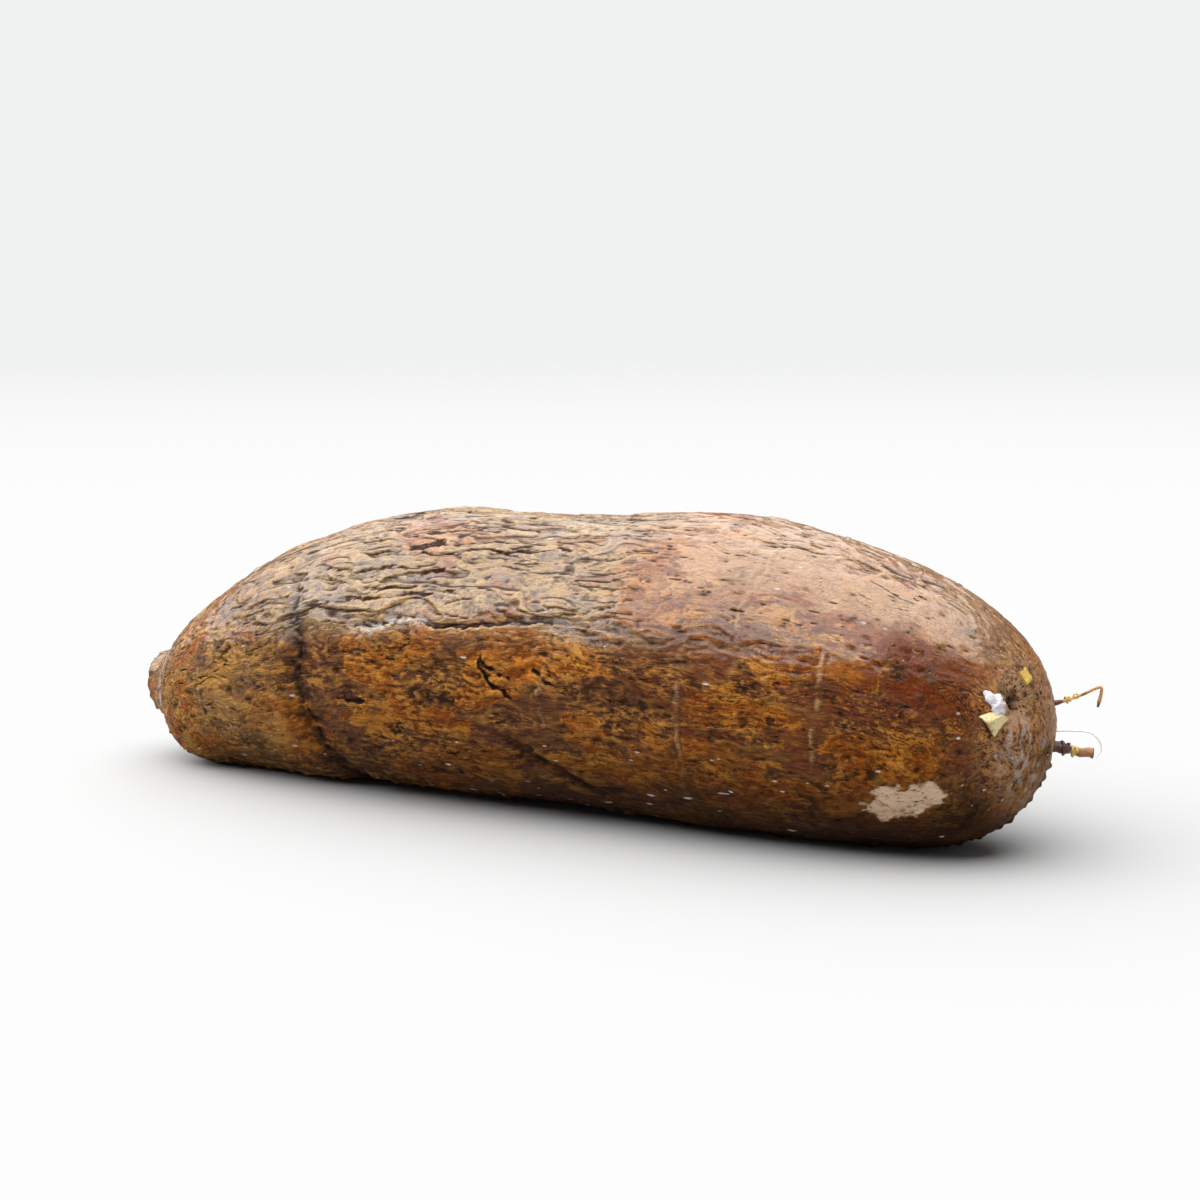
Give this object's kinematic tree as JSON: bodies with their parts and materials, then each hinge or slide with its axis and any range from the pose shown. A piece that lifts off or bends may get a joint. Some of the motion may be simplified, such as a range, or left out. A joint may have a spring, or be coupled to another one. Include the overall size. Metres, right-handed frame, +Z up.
{
  "type": "cassava",
  "caption": "Long waxed root vegetable with rough brown bark, a sawn neck at one end and a rounded tip with dry rootlets at the other, lying on its side.",
  "frame": {"origin": "middle of the bottom of the whole object's box, on the surface that the tuber lies on", "axes": "+X along the tuber from the sawn neck to the rounded tip, +Y across it away from the side with the wound and the torn rind, +Z up"},
  "size_m": [0.2448, 0.0686, 0.0692],
  "materials": {
    "waxed_skin": "rough brown bark under a thin glossy wax",
    "torn_flesh": "dry cream flesh, matt",
    "dry_rootlet": "dry fibre, satin",
    "thick_rootlet": "red brown dry root, satin",
    "pale_hair": "pale fine fibre, matt"
  },
  "bodies": {
    "root": {"tuber": "waxed_skin", "torn_rind": "torn_flesh", "rootlet_thin": "dry_rootlet", "rootlet_stub": "thick_rootlet", "rootlet_hair": "pale_hair"}
  },
  "joints": []
}
